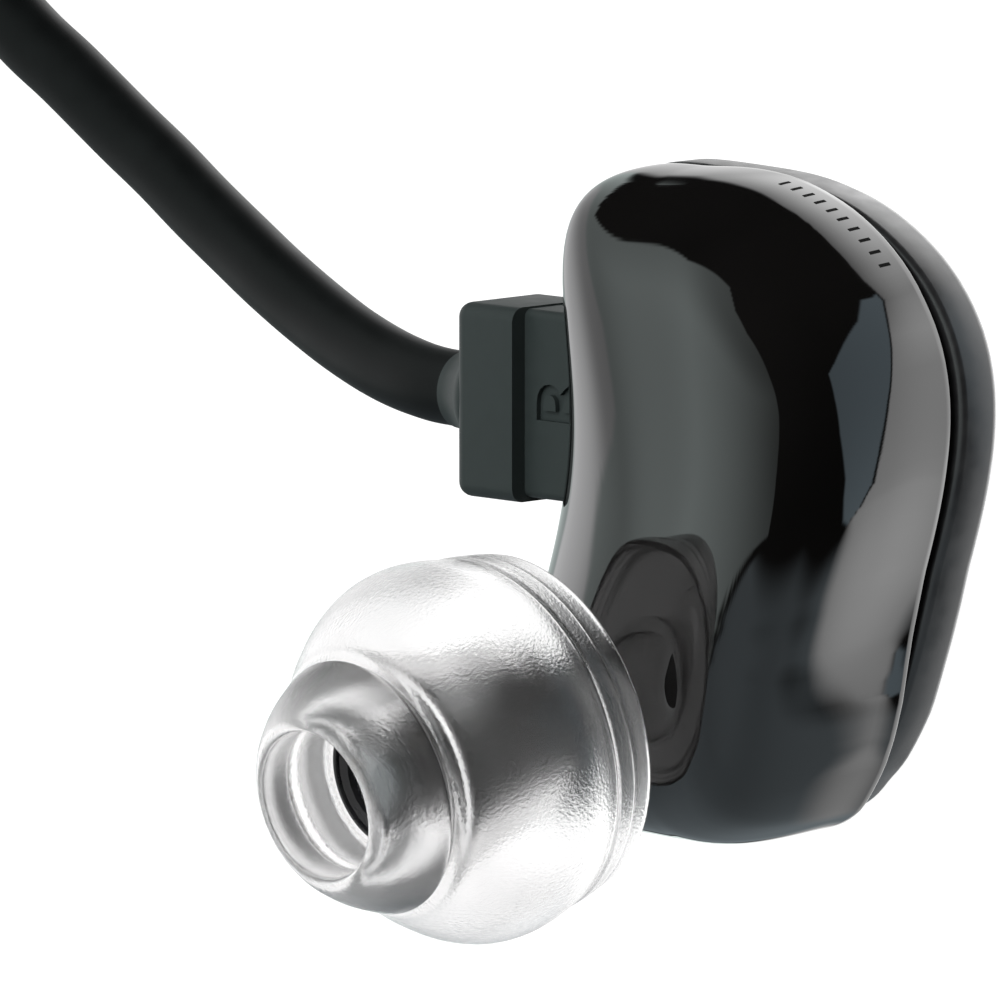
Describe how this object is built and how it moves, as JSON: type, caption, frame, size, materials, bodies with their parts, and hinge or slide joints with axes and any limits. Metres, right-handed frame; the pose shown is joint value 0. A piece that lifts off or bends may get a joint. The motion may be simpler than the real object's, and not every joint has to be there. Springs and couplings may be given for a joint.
{
  "type": "in-ear monitor",
  "caption": "Bean-shaped glossy in-ear monitor with a clear flanged silicone ear tip on its nozzle and a plug-in over-ear cable that ends in a headphone jack.",
  "frame": {"origin": "middle of the flat outer face of the faceplate, on which the monitor lies", "axes": "+Z out of the flat face towards the nozzle and ear tip, +Y along the bean towards its larger lobe, -X the hollow side that the cable plugs into"},
  "size_m": [0.0808, 0.0624, 0.0243],
  "materials": {
    "shell_gloss": "polished, near-black",
    "plate_satin": "satin, near-black",
    "gasket_rubber": "matte",
    "nozzle_satin": "satin, near-black",
    "steel_mesh": "fine satin",
    "damper_foam": "open-cell, matte",
    "clear_silicone": "clear, fine orange peel",
    "driver_frame": "satin",
    "driver_film": "thin polymer film",
    "coil_copper": "enamelled copper",
    "wire_red": "enamelled",
    "magnet_plating": "dull nickel plate",
    "soft_iron": "satin plate",
    "damper_fabric": "woven paper",
    "board": "solder mask",
    "socket_plastic": "moulded",
    "contact_gold": "gold plate",
    "plug_plastic": "fine moulded grain",
    "cable_rubber": "satin",
    "sleeve_satin": "satin",
    "tie_rubber": "matte",
    "insulator": "moulded, cream"
  },
  "bodies": {
    "casing": {"inner_shell": "shell_gloss", "faceplate": "plate_satin", "seam_gasket": "gasket_rubber", "vent_screen": "steel_mesh", "nozzle": "nozzle_satin", "nozzle_mesh": "steel_mesh", "mesh_ring": "nozzle_satin", "acoustic_damper": "damper_foam", "driver_grille": "steel_mesh", "driver_basket": "driver_frame", "diaphragm_surround": "driver_film", "pole_plate": "soft_iron", "driver_magnet": "magnet_plating", "driver_yoke": "soft_iron", "rear_damper": "damper_fabric", "driver_gasket": "gasket_rubber", "terminal_board": "board", "socket_housing": "socket_plastic", "socket_contact_1": "contact_gold", "socket_contact_2": "contact_gold", "driver_wire_1": "wire_red", "driver_wire_2": "coil_copper"},
    "ear_tip": {"ear_tip": "clear_silicone"},
    "cable": {"plug_grip": "plug_plastic", "plug_core": "plug_plastic", "plug_pin_1": "contact_gold", "plug_pin_2": "contact_gold", "ear_hook": "cable_rubber", "hook_end_sleeve": "sleeve_satin", "lead": "cable_rubber", "lead_coil": "cable_rubber", "lead_tail": "cable_rubber", "coil_tie": "tie_rubber", "jack_strain_relief": "cable_rubber", "jack_housing": "sleeve_satin", "jack_sleeve": "contact_gold", "jack_insulator_1": "insulator", "jack_ring": "contact_gold", "jack_insulator_2": "insulator", "jack_tip": "contact_gold"},
    "diaphragm": {"diaphragm": "driver_film", "voice_coil": "coil_copper"}
  },
  "joints": [
    {"name": "ear_tip_pull", "type": "slide", "parent": "casing", "child": "ear_tip", "axis": [-0.065, -0.192, 0.9792], "range_m": [0, 0.01]},
    {"name": "plug_pull", "type": "slide", "parent": "casing", "child": "cable", "axis": [-1, 0, 0], "range_m": [0, 0.006]},
    {"name": "diaphragm_travel", "type": "slide", "parent": "casing", "child": "diaphragm", "axis": [-0.065, -0.192, 0.9792], "range_m": [-0.00015, 0.00015], "stiffness_N_per_m": 200}
  ]
}
